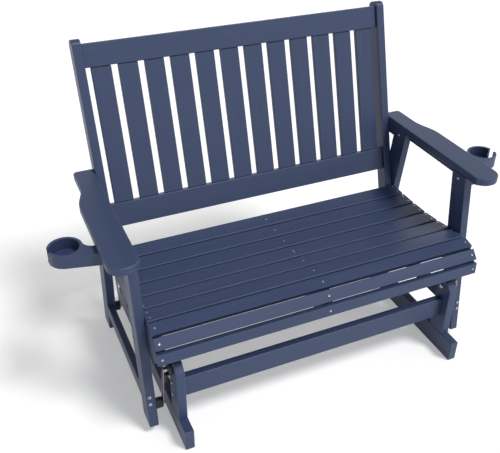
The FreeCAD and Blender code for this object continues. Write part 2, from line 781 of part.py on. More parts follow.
def link_blank(label, side, end):
    """Strap and block joined in one piece, hung from the upper pivot."""
    layers = []
    for name, corners, start, depth, thickness in LINK_LAYERS:
        near = side * (base_outer + start)
        place = vector(near if side > 0 else near - thickness, 0, 0)
        layers.append(padded(f"{label}_{name}", "YZ_Plane", outline(corners), depth, place))
    blank = doc.addObject("Part::Fuse", label + "_whole")
    blank.Base, blank.Tool = layers
    blank.Placement = at(0, end * d.upper_pivot_reach, upper_pivot_z,
                         -end * math.degrees(math.atan2(lean, d.link_drop)))
    return blank


for side_name, side in SIDES:
    for end_name, end in ENDS:
        corner = end_name, side_name
        label = f"swing_link_{end_name}_{side_name}"
        drilled(link_blank(label, side, end), label, (upper_bolt_hole.Shape, [upper_spots[corner]]),
                (lower_eyes[end_name].Shape, [lower_spots[corner]]))


# Floor base: runners, uprights and stretchers

stretcher_spots = {}
runner_spots = {}
for side_name, side in SIDES:
    for end_name, end in ENDS:
        corner = end_name, side_name
        stretcher_spots[corner] = [
            (vector(side * base_outer, end * d.stretcher_reach, z), vector(-side, 0, 0))
            for z in (stretcher_bolt_high, stretcher_bolt_low)]
        runner_x = side * (base_inner + base_outer) / 2
        runner_spots[corner] = [
            (vector(runner_x, end * d.upright_reach + shift, d.runner_bolt_recess), vector(0, 0, 1))
            for shift in (-d.runner_bolt_spacing / 2, d.runner_bolt_spacing / 2)]
group("base_bolts",
      *(copies(bolts["stretcher"].Shape, spots) for spots in stretcher_spots.values()),
      *(copies(bolts["runner"].Shape, spots) for spots in runner_spots.values()))

half_upright = d.upright_depth / 2
upright_shoulder = upright_top - d.upright_chamfer
upright_crown = half_upright - d.upright_chamfer
for side_name, side in SIDES:
    label = f"base_runner_{side_name}"
    runner_x = base_inner if side > 0 else -base_outer
    runner = box(label, "Sizes.frame_board", "Sizes.runner_length", "Sizes.runner_height",
                 at(runner_x, bench_front, 0))
    spots = runner_spots["front", side_name] + runner_spots["rear", side_name]
    drilled(runner, label, (bolt_holes["runner"].Shape, spots), (runner_recess.Shape, spots))
    for end_name, end in ENDS:
        corner = end_name, side_name
        label = f"base_upright_{end_name}_{side_name}"
        middle = end * d.upright_reach
        corners = [(middle - half_upright, d.runner_height), (middle + half_upright, d.runner_height),
                   (middle + half_upright, upright_shoulder), (middle + upright_crown, upright_top),
                   (middle - upright_crown, upright_top), (middle - half_upright, upright_shoulder)]
        upright = side_board(label, side, base_inner, corners, "Sizes.frame_board", d.frame_board)
        drilled(upright, label, (upper_bolt_hole.Shape, [upper_spots[corner]]),
                (bolt_holes["stretcher"].Shape, stretcher_spots[corner]),
                (bolt_holes["runner"].Shape, runner_spots[corner]))
STRETCHER_SPAN = ("2 * (Sizes.seat_length / 2 + Sizes.seat_end_gap - Sizes.link_space"
                  " - Sizes.frame_board)")
for end_name, end in ENDS:
    label = f"base_stretcher_{end_name}"
    stretcher = box(label, STRETCHER_SPAN, "Sizes.stretcher_thickness", "Sizes.stretcher_height",
                    at(-base_inner, end * d.stretcher_reach - d.stretcher_thickness / 2,
                       stretcher_underside))
    drilled(stretcher, label, (bolt_holes["stretcher"].Shape,
                               stretcher_spots[end_name, "left"] + stretcher_spots[end_name, "right"]))


# Checks, then one file for each piece

doc.recompute()
for item in doc.Objects:
    if "Invalid" in item.State or "Error" in item.State:
        raise RuntimeError(f"{item.Label} failed: {item.State}")
for item in nodes:
    if item.Shape.isNull() or not item.Shape.isValid() or not item.Shape.Solids:
        raise RuntimeError(f"{item.Label} has no valid solid")
    if item.TypeId == "Part::Cut" and item.Shape.Volume >= item.Base.Shape.Volume:
        raise RuntimeError(f"{item.Label} lost nothing to its cut")

os.makedirs("parts", exist_ok=True)
for item in nodes:
    item.Shape.exportStep(f"parts/{item.Label}.step")
print(f"{len(nodes)} pieces, glide plane at y = {glide_y:.3f}")
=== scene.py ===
import json
import math

import bmesh
import bpy
import numpy as np
from bpy.props import FloatProperty, FloatVectorProperty, PointerProperty
from bpy.types import NodeSocket, Operator, Panel, PropertyGroup
from mathutils import Matrix, Vector

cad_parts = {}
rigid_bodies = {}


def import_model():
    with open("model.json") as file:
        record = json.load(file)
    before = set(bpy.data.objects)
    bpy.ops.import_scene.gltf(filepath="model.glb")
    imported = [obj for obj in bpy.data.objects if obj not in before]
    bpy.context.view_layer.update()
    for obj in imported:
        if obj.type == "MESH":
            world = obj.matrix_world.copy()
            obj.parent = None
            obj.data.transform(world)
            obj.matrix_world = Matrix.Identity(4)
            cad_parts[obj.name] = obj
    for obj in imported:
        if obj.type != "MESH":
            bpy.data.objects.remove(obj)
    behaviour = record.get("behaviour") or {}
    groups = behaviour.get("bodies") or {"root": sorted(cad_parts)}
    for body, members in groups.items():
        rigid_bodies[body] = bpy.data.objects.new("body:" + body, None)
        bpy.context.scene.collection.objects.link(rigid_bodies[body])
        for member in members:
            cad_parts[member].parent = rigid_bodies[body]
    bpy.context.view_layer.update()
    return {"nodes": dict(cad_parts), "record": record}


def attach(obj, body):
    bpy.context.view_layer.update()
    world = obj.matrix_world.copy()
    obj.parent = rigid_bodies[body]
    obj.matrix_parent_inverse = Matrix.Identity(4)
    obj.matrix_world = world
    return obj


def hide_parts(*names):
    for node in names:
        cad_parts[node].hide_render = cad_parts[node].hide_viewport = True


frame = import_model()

bl_info = {
    "name": "Glider Bench",
    "version": (1, 0, 0),
    "blender": (4, 5, 0),
    "location": "View3D > Sidebar > Glider Bench",
    "description": "Dresses a two-seat glider bench of grained boards and sets up its studio",
    "category": "Object",
}

# The part as it comes: its nodes, and each node's body and material slot
NODES = frame["nodes"]
BODY_OF = {node: body for body, nodes in frame["record"]["behaviour"]["bodies"].items() for node in nodes}
SLOT_OF = {part["node"]: part["material_slot"] for part in frame["record"]["subparts"]}

# Groups of like nodes
SIDES = ("left", "right")
CORNERS = ("front_left", "front_right", "rear_left", "rear_right")
SEAT_SLATS = tuple(f"seat_slat_{number}" for number in range(1, 7))
NOSE_SLATS = tuple(f"seat_slat_{number}" for number in range(7, 10))
SEAT_RAILS = ("seat_side_rail_left", "seat_centre_rail", "seat_side_rail_right")
BACK_FRAME = ("back_post_left", "back_post_right", "back_rail_top", "back_rail_bottom")
BACK_SLATS = tuple(f"back_slat_{number:02d}" for number in range(1, 13))
LEG_FRAME = tuple(f"{piece}_{side}" for side in SIDES
                  for piece in ("front_leg", "rear_leg", "lower_rail", "arm_rail"))
ARMRESTS = tuple(f"armrest_{side}" for side in SIDES)
CUP_HOLDERS = tuple(f"cup_holder_{side}" for side in SIDES)
BASE_FRAME = (tuple(f"base_runner_{side}" for side in SIDES)
              + tuple(f"base_upright_{corner}" for corner in CORNERS)
              + ("base_stretcher_front", "base_stretcher_rear"))
FASTENERS = ("seat_screws", "chair_bolts", "base_bolts", "upper_pivot_bolts", "lower_pivot_pins")
BEARINGS = ("bearing_discs", "lower_pivot_spacers")
SWING_LINKS = tuple(f"swing_link_{corner}" for corner in CORNERS)

# Points closer than this are one corner, in metres
WELD = 2e-6
# Faces that meet at less than FLAT are one flat side, and edges that turn by more than SHARP are eased
FLAT = math.radians(0.6)
SHARP = math.radians(35)
# Steps of a rounded edge, on large pieces and on small steel ones
ROUND_STEPS = 3
FINE_STEPS = 2
# How strongly the large faces rule the shading of the eased edges beside them
SHADING_WEIGHT = 60
# Share of its thickness that a bearing's edge is eased by at most
BEARING_SHARE = 0.35
# Decimals, in metres, that tell the flat sides of a link apart
PLANE_DECIMALS = 5

# From board to board the grain moves on by these lengths in metres, and the shade by this share
GRAIN_STEP = (3.1, 1.7, 2.3)
SHADE_STEP = 0.618034

# A nut is shorter than this along its bolt, and has its edges eased by this much, in metres
NUT_LENGTH = 0.012
NUT_EASE = 0.0006
# Points this far from a fastener's axis, as a share of the farthest, belong to its head
HEAD_REACH = 0.9
# Points this close to a fastener's end belong to its tip, in metres
TIP_DEPTH = 2e-5
# A head's rounding and socket depth are shares of its height, and its rim and socket are shares of its radius
HEAD_ROUND = 0.48
HEAD_RIM = 0.12
SOCKET_DEPTH = 0.6
SOCKET_REACH = 0.4
# Sides of the round heads and shanks, and the turn from one side of a socket to the next
HEAD_SIDES = 24
SHANK_SIDES = 16
HEXAGON_STEP = math.pi / 3

# Most of a noise's values lie in this span
NOISE_SPAN = (0.3, 0.7)
# Sockets of a colour mix, which share their names with sockets for other kinds of value
MIX_SHARE, MIX_FIRST, MIX_SECOND, MIX_RESULT = 0, 6, 7, 2
WHITE = (1, 1, 1, 1)

# The floor's reach each way and its gap under the runners, in metres
FLOOR_REACH = 30
FLOOR_GAP = 0.0005
# Rise of a ray, as a sine, over which the walls pass into the ceiling
CEILING_SPAN = (0.4, 0.56)
# Sideways part of a ray over which the left walls pass into the others
LEFT_SPAN = (-0.6, 0.2)
# Width of the camera's sensor in millimetres
SENSOR_WIDTH = 36


class BoardSettings(PropertyGroup):
    """Looks of the navy boards."""

    navy: FloatVectorProperty(
        name="Navy", description="Main colour of the boards",
        subtype="COLOR", size=3, min=0, max=1, default=(0.0405, 0.0625, 0.138))
    deep: FloatVectorProperty(
        name="Deep navy", description="Colour of the boards' darker streaks",
        subtype="COLOR", size=3, min=0, max=1, default=(0.0325, 0.0515, 0.116))
    # Lighter colour of the eased edges: partly rubbed wear, partly a painted highlight where light catches
    # the rounded edges
    worn_and_highlight: FloatVectorProperty(
        name="Rubbed edge and highlight", description="Colour of the eased edges, rubbed and lighter as a painted highlight",
        subtype="COLOR", size=3, min=0, max=1, default=(0.055, 0.078, 0.148))
    slat_ease: FloatProperty(
        name="Slat ease", description="Radius of the slats' rounded edges",
        unit="LENGTH", subtype="DISTANCE", min=0.0005, max=0.008, default=0.0028)
    nose_ease: FloatProperty(
        name="Nose ease", description="Radius of the front seat slats' rounded edges",
        unit="LENGTH", subtype="DISTANCE", min=0.0005, max=0.008, default=0.0007)
    frame_ease: FloatProperty(
        name="Frame ease", description="Radius of the frame boards' rounded edges",
        unit="LENGTH", subtype="DISTANCE", min=0.0005, max=0.01, default=0.003)
    arm_ease: FloatProperty(
        name="Arm ease", description="Radius of the arms' rounded edges",
        unit="LENGTH", subtype="DISTANCE", min=0.0005, max=0.012, default=0.004)
    cup_ease: FloatProperty(
        name="Cup holder ease", description="Radius of the cup holders' rounded edges",
        unit="LENGTH", subtype="DISTANCE", min=0.0005, max=0.003, default=0.0018)


class HardwareSettings(PropertyGroup):
    """Looks of the screws, bolts, links and bearings."""

    steel: FloatVectorProperty(
        name="Screw steel", description="Colour of screws, bolts and nuts",
        subtype="COLOR", size=3, min=0, max=1, default=(0.5, 0.5, 0.52))
    strap: FloatVectorProperty(
        name="Strap steel", description="Colour of the swing links' straps",
        subtype="COLOR", size=3, min=0, max=1, default=(0.36, 0.34, 0.41))
    black: FloatVectorProperty(
        name="Bearing black", description="Colour of the bearings' moulded plastic",
        subtype="COLOR", size=3, min=0, max=1, default=(0.0075, 0.0075, 0.0085))
    bearing_ease: FloatProperty(
        name="Bearing ease", description="Radius of the bearings' rounded edges",
        unit="LENGTH", subtype="DISTANCE", min=0.0003, max=0.005, default=0.0022)
    strap_ease: FloatProperty(
        name="Strap ease", description="Radius of the straps' rounded edges",
        unit="LENGTH", subtype="DISTANCE", min=0.0001, max=0.002, default=0.0008)


class StageSettings(PropertyGroup):
    """Camera, lamp, floor and surround."""

    camera_place: FloatVectorProperty(
        name="Camera place", description="Where the camera stands",
        subtype="XYZ", unit="LENGTH", size=3, default=(-0.87495, -1.72911, 1.71459))
    camera_yaw: FloatProperty(
        name="Camera yaw", description="Turn of the view to the right of +Y",
        subtype="ANGLE", unit="ROTATION", default=0.4231)
    camera_pitch: FloatProperty(
        name="Camera pitch", description="Tilt of the view above level",
        subtype="ANGLE", unit="ROTATION", default=-0.5941)
    camera_roll: FloatProperty(
        name="Camera roll", description="Turn of the picture about the view",
        subtype="ANGLE", unit="ROTATION", default=0.0098)
    lens: FloatProperty(
        name="Lens", description="Focal length on a 36 mm wide sensor",
        subtype="DISTANCE_CAMERA", unit="CAMERA", default=50.635)
    shift: FloatVectorProperty(
        name="Lens shift", description="Shift of the frame, in frame widths",
        size=2, default=(-0.00944, 0.0137))
    floor: FloatVectorProperty(
        name="Floor", description="Colour of the floor",
        subtype="COLOR", size=3, min=0, max=1, default=(0.85, 0.85, 0.85))
    floor_glow: FloatProperty(
        name="Floor glow", description="Light of the lit floor itself",
        min=0, default=0.31)
    walls: FloatProperty(
        name="Walls", description="Strength of the white surround near the ground",
        min=0, default=1.15)
    ceiling: FloatProperty(
        name="Ceiling", description="Strength of the surround overhead",
        min=0, default=0.28)
    left_share: FloatProperty(
        name="Left share", description="Share of the surround's light that comes from the left",
        min=0, max=1, default=0.4)
    key: FloatProperty(
        name="Key lamp", description="Strength of the soft lamp in front and above",
        min=0, default=2.15)
    key_way: FloatVectorProperty(
        name="Key lamp way", description="Direction that the key lamp stands in",
        subtype="DIRECTION", size=3, default=(1.4, -1.75, 3.5))
    key_spread: FloatProperty(
        name="Key lamp spread", description="Width of the key lamp as an angle",
        subtype="ANGLE", unit="ROTATION", min=0, default=0.3)


# Node trees

def new_finish(name):
    """Empty material with its node tree and its surface shader."""
    finish = bpy.data.materials.new(name)
    finish.use_nodes = True
    tree = finish.node_tree
    surface = next(node for node in tree.nodes if node.type == "BSDF_PRINCIPLED")
    return finish, tree, surface


def feed(tree, node, inputs):
    """Sets a node's sockets to values, or links them to other sockets."""
    for key, value in inputs.items():
        if isinstance(value, NodeSocket):
            tree.links.new(value, node.inputs[key])
        else:
            node.inputs[key].default_value = value


def add_node(tree, kind, inputs=None, **options):
    """New node with its options set and its sockets fed."""
    node = tree.nodes.new(kind)
    for name, value in options.items():
        setattr(node, name, value)
    feed(tree, node, inputs or {})
    return node


def opaque(colour):
    """A colour as a socket takes it; one that is a socket itself stays as it is."""
    return colour if isinstance(colour, NodeSocket) else (*colour, 1)


def blend_colour(tree, share, first, second):
    """Mix of two colours, each a colour or a socket."""
    inputs = {MIX_SHARE: share, MIX_FIRST: opaque(first), MIX_SECOND: opaque(second)}
    mix = add_node(tree, "ShaderNodeMix", inputs, data_type="RGBA", blend_type="MIX")
    return mix.outputs[MIX_RESULT]


def spread(tree, value, span, target):
    """A value's span laid over a target span."""
    inputs = {"Value": value, "From Min": span[0], "From Max": span[1],
              "To Min": target[0], "To Max": target[1]}
    return add_node(tree, "ShaderNodeMapRange", inputs).outputs["Result"]


def stretched_noise(tree, place, scale, detail, roughness, distortion=0.0):
    """Noise drawn out along the axes that have a small scale."""
    mapped = add_node(tree, "ShaderNodeMapping", {"Vector": place, "Scale": scale}).outputs["Vector"]
    inputs = {"Vector": mapped, "Scale": 1.0, "Detail": detail, "Roughness": roughness,
              "Distortion": distortion}
    return add_node(tree, "ShaderNodeTexNoise", inputs).outputs["Fac"]


def arithmetic(tree, operation, first, second):
    """Sum, product or larger one of two values."""
    return add_node(tree, "ShaderNodeMath", {0: first, 1: second}, operation=operation).outputs["Value"]


def add_up(tree, total, *others):
    """Sum of two or more values."""
    for value in others:
        total = arithmetic(tree, "ADD", total, value)
    return total


def raise_relief(tree, surface, height, strength, distance):
    """Bumps a surface by a height."""
    bump = add_node(tree, "ShaderNodeBump", {"Strength": strength, "Distance": distance, "Height": height})
    feed(tree, surface, {"Normal": bump.outputs["Normal"]})


def seen_directly(tree):
    """1 for what the camera sees itself, in a mirror or through glass, and 0 for stray light."""
    path = add_node(tree, "ShaderNodeLightPath").outputs
    return add_up(tree, path["Is Camera Ray"], path["Is Glossy Ray"], path["Is Transmission Ray"])


# Finishes

def board_finish(looks):
    """Navy board: streaks and fine grain along the board, satin sheen, and eased edges made lighter, partly
    as rubbed wear and partly as a painted highlight.
    """
    finish, tree, surface = new_finish("grained_navy")
    along = add_node(tree, "ShaderNodeAttribute", attribute_name="grain").outputs["Vector"]
    tone = add_node(tree, "ShaderNodeAttribute", attribute_name="tone").outputs["Fac"]
    edge = add_node(tree, "ShaderNodeAttribute", attribute_name="edge").outputs["Fac"]
    streaks = stretched_noise(tree, along, scale=(2.4, 48, 48), detail=5, roughness=0.55, distortion=0.4)
    fibres = stretched_noise(tree, along, scale=(16, 520, 520), detail=3, roughness=0.6)
    clouds = stretched_noise(tree, along, scale=(5, 9, 9), detail=2, roughness=0.5)
    skin = stretched_noise(tree, along, scale=(1500, 1500, 1500), detail=1, roughness=0.5)

    streak_share, cloud_share, tone_share = 0.75, 0.25, 0.16
    rub_and_highlight_span, rub_and_highlight_share = (0.35, 0.65), (0.15, 0.6)
    depth = add_up(tree, spread(tree, streaks, NOISE_SPAN, (0, streak_share)),
                   spread(tree, clouds, NOISE_SPAN, (0, cloud_share)))
    navy = blend_colour(tree, depth, looks.deep, looks.navy)
    shaded = blend_colour(tree, spread(tree, tone, (0, 1), (0, tone_share)), navy, looks.deep)
    # The eased edges are lightened unevenly by noise: partly rubbed wear, partly a painted highlight
    rubbed_and_highlit = arithmetic(tree, "MULTIPLY", edge, spread(tree, clouds, rub_and_highlight_span, rub_and_highlight_share))
    colour = blend_colour(tree, rubbed_and_highlit, shaded, looks.worn_and_highlight)

    streak_gloss, fibre_gloss = (0.36, 0.46), (-0.03, 0.05)
    sheen = add_up(tree, spread(tree, streaks, NOISE_SPAN, streak_gloss),
                   spread(tree, fibres, NOISE_SPAN, fibre_gloss))
    heights = ((fibres, 0.6), (streaks, 0.8), (skin, 0.15))
    relief = add_up(tree, *(arithmetic(tree, "MULTIPLY", noise, height) for noise, height in heights))
    raise_relief(tree, surface, relief, strength=0.22, distance=0.0006)
    feed(tree, surface, {"Base Color": colour, "Roughness": sheen, "Specular IOR Level": 0.36})
    return finish


def steel_finish(name, colour, rough, scale):
    """Bare steel with fine drawn lines and a little uneven gloss."""
    finish, tree, surface = new_finish(name)
    place = add_node(tree, "ShaderNodeTexCoord").outputs["Object"]
    lines = stretched_noise(tree, place, scale, detail=4, roughness=0.6)
    blotches = stretched_noise(tree, place, scale=(160, 160, 160), detail=3, roughness=0.5)

    dulling, dull_share = 0.72, 0.7
    dulled = tuple(dulling * channel for channel in colour)
    shade = blend_colour(tree, spread(tree, blotches, NOISE_SPAN, (0, dull_share)), colour, dulled)
    line_gloss, blotch_gloss = (rough - 0.06, rough + 0.08), (-0.03, 0.05)
    gloss = add_up(tree, spread(tree, lines, NOISE_SPAN, line_gloss),
                   spread(tree, blotches, NOISE_SPAN, blotch_gloss))
    raise_relief(tree, surface, lines, strength=0.15, distance=0.0002)
    feed(tree, surface, {"Base Color": shade, "Roughness": gloss, "Metallic": 1.0})
    return finish


def bearing_finish(looks):
    """Black moulded plastic with a fine spark-eroded skin and a little dust."""
    finish, tree, surface = new_finish("bearing_black")
    place = add_node(tree, "ShaderNodeTexCoord").outputs["Object"]
    skin = stretched_noise(tree, place, scale=(1800, 1800, 1800), detail=2, roughness=0.6)
    dust = stretched_noise(tree, place, scale=(70, 70, 70), detail=4, roughness=0.6)

    dust_lift, dust_span, dust_share, dust_gloss = 3.2, (0.4, 0.8), 0.8, (0.42, 0.6)
    grey = tuple(dust_lift * channel for channel in looks.black)
    colour = blend_colour(tree, spread(tree, dust, dust_span, (0, dust_share)), looks.black, grey)
    gloss = spread(tree, dust, NOISE_SPAN, dust_gloss)
    raise_relief(tree, surface, skin, strength=0.3, distance=0.0002)
    feed(tree, surface, {"Base Color": colour, "Roughness": gloss})
    return finish


def finish_for(context, name):
    """Finish by name, made on first use."""
    found = bpy.data.materials.get(name)
    if found:
        return found
    boards, hardware = context.scene.bench_boards, context.scene.bench_hardware
    makers = {
        "grained_navy": lambda: board_finish(boards),
        "screw_steel": lambda: steel_finish(name, hardware.steel, rough=0.24, scale=(900, 900, 900)),
        "strap_steel": lambda: steel_finish(name, hardware.strap, rough=0.36, scale=(1200, 1200, 22)),
        "bearing_black": lambda: bearing_finish(hardware),
    }
    return makers[name]()


# Shapes taken from the frame

def solids_of(node):
    """Corner points of each separate solid in a node, in the order of its mesh."""
    bm = bmesh.new()
    bm.from_mesh(NODES[node].data)
    bmesh.ops.remove_doubles(bm, verts=bm.verts, dist=WELD)
    solids = []
    waiting = set(bm.verts)
    for start in bm.verts:
        if start not in waiting:
            continue
        waiting.remove(start)
        reached = [start]
        for vert in reached:
            for edge in vert.link_edges:
                other = edge.other_vert(vert)
                if other in waiting:
                    waiting.remove(other)
                    reached.append(other)
        solids.append([vert.co.copy() for vert in reached])
    bm.free()
    if not solids:
        raise RuntimeError(f"{node} has no solid")
    return solids


def extent(points):
    """Size of a solid along each axis."""
    return Vector(map(max, *points)) - Vector(map(min, *points))


def new_blank():
    """Empty mesh under way, with the layer that marks eased edges."""
    bm = bmesh.new()
    bm.faces.layers.float.new("edge")
    return bm


def merge_flats(bm):
    """One face for each flat side, pointing outwards."""
    bmesh.ops.dissolve_limit(bm, angle_limit=FLAT, verts=bm.verts, edges=bm.edges)
    bmesh.ops.recalc_face_normals(bm, faces=bm.faces)


def skin_over(points):
    """Closed skin over corner points, each flat side one face."""
    bm = new_blank()
    for point in points:
        bm.verts.new(point)
    hull = bmesh.ops.convex_hull(bm, input=bm.verts)
    spare = [item for key in ("geom_interior", "geom_unused") for item in hull[key]
             if isinstance(item, bmesh.types.BMVert)]
    bmesh.ops.delete(bm, geom=list(dict.fromkeys(spare)), context="VERTS")
    merge_flats(bm)
    return bm


def board_over(node):
    """Board over the corners of a node whose outline bends inwards nowhere."""
    return skin_over(solids_of(node)[0])


def copy_of(node):
    """Merged copy of a node whose outline bends inwards."""
    bm = new_blank()
    bm.from_mesh(NODES[node].data)
    bmesh.ops.remove_doubles(bm, verts=bm.verts, dist=WELD)
    merge_flats(bm)
    return bm


def ease_edges(bm, radius, steps=ROUND_STEPS):
    """Rounds the sharp edges and marks the rounded strips."""
    sharp = [edge for edge in bm.edges if len(edge.link_faces) == 2 and edge.calc_face_angle() > SHARP]
    eased = bmesh.ops.bevel(bm, geom=sharp, offset=radius, offset_type="OFFSET", segments=steps,
                            profile=0.5, affect="EDGES", material=-1, clamp_overlap=True)
    edge = bm.faces.layers.float["edge"]
    for face in eased["faces"]:
        face[edge] = 1.0
    return bm


def join_into(bm, part):
    """Adds one mesh under way to another and returns the new points."""
    carrier = bpy.data.meshes.new("carrier")
    part.to_mesh(carrier)
    part.free()
    before = len(bm.verts)
    bm.from_mesh(carrier)
    bpy.data.meshes.remove(carrier)
    bm.verts.ensure_lookup_table()
    return bm.verts[before:]


# Pieces

def add_piece(name, bm, finish, slot, *nodes):
    """Finished piece in place of its CAD nodes."""
    for face in bm.faces:
        face.smooth = True
    mesh = bpy.data.meshes.new(name)
    bm.to_mesh(mesh)
    bm.free()
    mesh.materials.append(finish)
    piece = bpy.data.objects.new(name, mesh)
    bpy.context.scene.collection.objects.link(piece)
    weighted = piece.modifiers.new("Even shading", "WEIGHTED_NORMAL")
    weighted.mode = "FACE_AREA"
    weighted.weight = SHADING_WEIGHT
    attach(piece, BODY_OF[nodes[0]])
    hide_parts(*nodes)
    return piece


def lay_grain(piece, count):
    """Gives a board its own run of grain along its length, and its own shade."""
    points = np.array([vert.co for vert in piece.data.vertices])
    centre = (points.max(axis=0) + points.min(axis=0)) / 2
    turned = np.linalg.svd(points - points.mean(axis=0), full_matrices=False)[2]
    runs = (points - centre) @ turned.T + np.array(GRAIN_STEP) * count
    grain = piece.data.attributes.new("grain", "FLOAT_VECTOR", "POINT")
    grain.data.foreach_set("vector", runs.astype(np.float32).ravel())
    shade = (count * SHADE_STEP) % 1.0
    tone = piece.data.attributes.new("tone", "FLOAT", "POINT")
    tone.data.foreach_set("value", np.full(len(points), shade, np.float32))


def add_board(context, name, blank, node):
    """Navy board with its own grain."""
    piece = add_piece(f"{name}_board", blank, finish_for(context, "grained_navy"), SLOT_OF[node], node)
    lay_grain(piece, sum(1 for item in bpy.data.objects if item.name.endswith("_board")))


def add_boards(context, nodes, ease=None, shape=board_over):
    """Navy boards in place of CAD boards, with their edges eased where a radius is given."""
    for node in nodes:
        blank = shape(node)
        if ease:
            ease_edges(blank, ease)
        add_board(context, node, blank, node)


# Fasteners

def is_nut(points):
    """Whether a fastener's solid is no longer than a nut."""
    size = extent(points)
    return max(size) < 2 * NUT_LENGTH and min(size) < NUT_LENGTH


def fastener_line(points):
    """Seat of the head, way of the shank and the sizes of a screw or bolt."""
    cloud = np.array(points)
    centre = cloud.mean(axis=0)
    way = np.linalg.svd(cloud - centre, full_matrices=False)[2][0]
    run = (cloud - centre) @ way
    reach = np.linalg.norm(cloud - centre - np.outer(run, way), axis=1)
    head = reach > HEAD_REACH * reach.max()
    if run[head].mean() > 0:
        way, run = -way, -run
    seat = run[head].max()
    tip = run > run.max() - TIP_DEPTH
    return {"seat": Vector(centre + seat * way), "way": Vector(way), "radius": reach.max(),
            "height": seat - run.min(), "shank": reach[tip].max(), "length": run.max() - seat}


def headed_blank(line):
    """Button head with a hexagon socket, its seat on the XY plane, over a plain shank."""
    bm = new_blank()
    radius, height = line["radius"], line["height"]
    bmesh.ops.create_cone(bm, cap_ends=True, segments=HEAD_SIDES, radius1=radius, radius2=radius,
                          depth=height)
    bmesh.ops.translate(bm, vec=(0, 0, height / 2), verts=bm.verts)
    rim = [edge for edge in bm.edges if all(vert.co.z > height / 2 for vert in edge.verts)]
    bmesh.ops.bevel(bm, geom=rim, offset=HEAD_ROUND * height, offset_type="OFFSET", segments=ROUND_STEPS,
                    profile=0.5, affect="EDGES", material=-1)
    crown = max(bm.faces, key=lambda face: face.calc_center_median().z)
    bmesh.ops.inset_region(bm, faces=[crown], thickness=HEAD_RIM * radius)
    for vert in crown.verts:
        bearing = math.atan2(vert.co.y, vert.co.x)
        turn = (bearing + HEXAGON_STEP / 2) % HEXAGON_STEP - HEXAGON_STEP / 2
        reach = SOCKET_REACH * radius / math.cos(turn)
        vert.co.x, vert.co.y = reach * math.cos(bearing), reach * math.sin(bearing)
    floor = bmesh.ops.extrude_discrete_faces(bm, faces=[crown])["faces"]
    bmesh.ops.translate(bm, vec=(0, 0, -SOCKET_DEPTH * height), verts=floor[0].verts)
    bmesh.ops.poke(bm, faces=floor)
    shank = bmesh.ops.create_cone(bm, cap_ends=True, segments=SHANK_SIDES, radius1=line["shank"],
                                  radius2=line["shank"], depth=line["length"])
    bmesh.ops.translate(bm, vec=(0, 0, -line["length"] / 2), verts=shank["verts"])
    return bm


def add_fasteners(context, node):
    """Screws, bolts, pins and nuts of one node."""
    bm = new_blank()
    for points in solids_of(node):
        if is_nut(points):
            join_into(bm, ease_edges(skin_over(points), NUT_EASE, FINE_STEPS))
        else:
            line = fastener_line(points)
            turn = Vector((0, 0, -1)).rotation_difference(line["way"]).to_matrix().to_4x4()
            verts = join_into(bm, headed_blank(line))
            bmesh.ops.transform(bm, matrix=Matrix.Translation(line["seat"]) @ turn, verts=verts)
    add_piece(f"{node}_set", bm, finish_for(context, "screw_steel"), SLOT_OF[node], node)


# Steps

class BENCH_OT_seat(Operator):
    """Seat slats and the rails under them"""

    bl_idname = "bench.seat"
    bl_label = "Seat"

    def execute(self, context):
        boards = context.scene.bench_boards
        add_boards(context, SEAT_SLATS, boards.slat_ease)
        add_boards(context, NOSE_SLATS, boards.nose_ease)
        add_boards(context, SEAT_RAILS, shape=copy_of)
        return {"FINISHED"}


class BENCH_OT_back(Operator):
    """Back posts, rails and slats"""

    bl_idname = "bench.back"
    bl_label = "Back"

    def execute(self, context):
        boards = context.scene.bench_boards
        add_boards(context, BACK_FRAME, boards.frame_ease)
        add_boards(context, BACK_SLATS, boards.slat_ease)
        return {"FINISHED"}


class BENCH_OT_legs(Operator):
    """Legs, the rails that join them and the cleats under the arms"""

    bl_idname = "bench.legs"
    bl_label = "Legs"

    def execute(self, context):
        ease = context.scene.bench_boards.frame_ease
        add_boards(context, LEG_FRAME, ease)
        for number, points in enumerate(solids_of("arm_cleats"), start=1):
            add_board(context, f"arm_cleat_{number}", ease_edges(skin_over(points), ease), "arm_cleats")
        return {"FINISHED"}


class BENCH_OT_arms(Operator):
    """Armrests"""

    bl_idname = "bench.arms"
    bl_label = "Armrests"

    def execute(self, context):
        add_boards(context, ARMRESTS, context.scene.bench_boards.arm_ease, copy_of)
        return {"FINISHED"}


class BENCH_OT_cup_holders(Operator):
    """Cup holders with their handle slots"""

    bl_idname = "bench.cup_holders"
    bl_label = "Cup holders"

    def execute(self, context):
        add_boards(context, CUP_HOLDERS, context.scene.bench_boards.cup_ease, copy_of)
        return {"FINISHED"}


class BENCH_OT_base(Operator):
    """Runners, uprights and stretchers of the floor base"""

    bl_idname = "bench.base"
    bl_label = "Floor base"

    def execute(self, context):
        add_boards(context, BASE_FRAME, context.scene.bench_boards.frame_ease)
        return {"FINISHED"}


class BENCH_OT_fasteners(Operator):
    """Screws, bolts, pivot pins and nuts"""

    bl_idname = "bench.fasteners"
    bl_label = "Fasteners"

    def execute(self, context):
        for node in FASTENERS:
            add_fasteners(context, node)
        return {"FINISHED"}


class BENCH_OT_bearings(Operator):
    """Bearing discs on the uprights, caps on their bolts and spacers on the legs"""

    bl_idname = "bench.bearings"
    bl_label = "Bearings"

    def execute(self, context):
        widest = context.scene.bench_hardware.bearing_ease
        for node in BEARINGS:
            bm = new_blank()
            for points in solids_of(node):
                ease = min(widest, BEARING_SHARE * min(extent(points)))
                join_into(bm, ease_edges(skin_over(points), ease))
            add_piece(f"{node}_set", bm, finish_for(context, "bearing_black"), SLOT_OF[node], node)
        return {"FINISHED"}


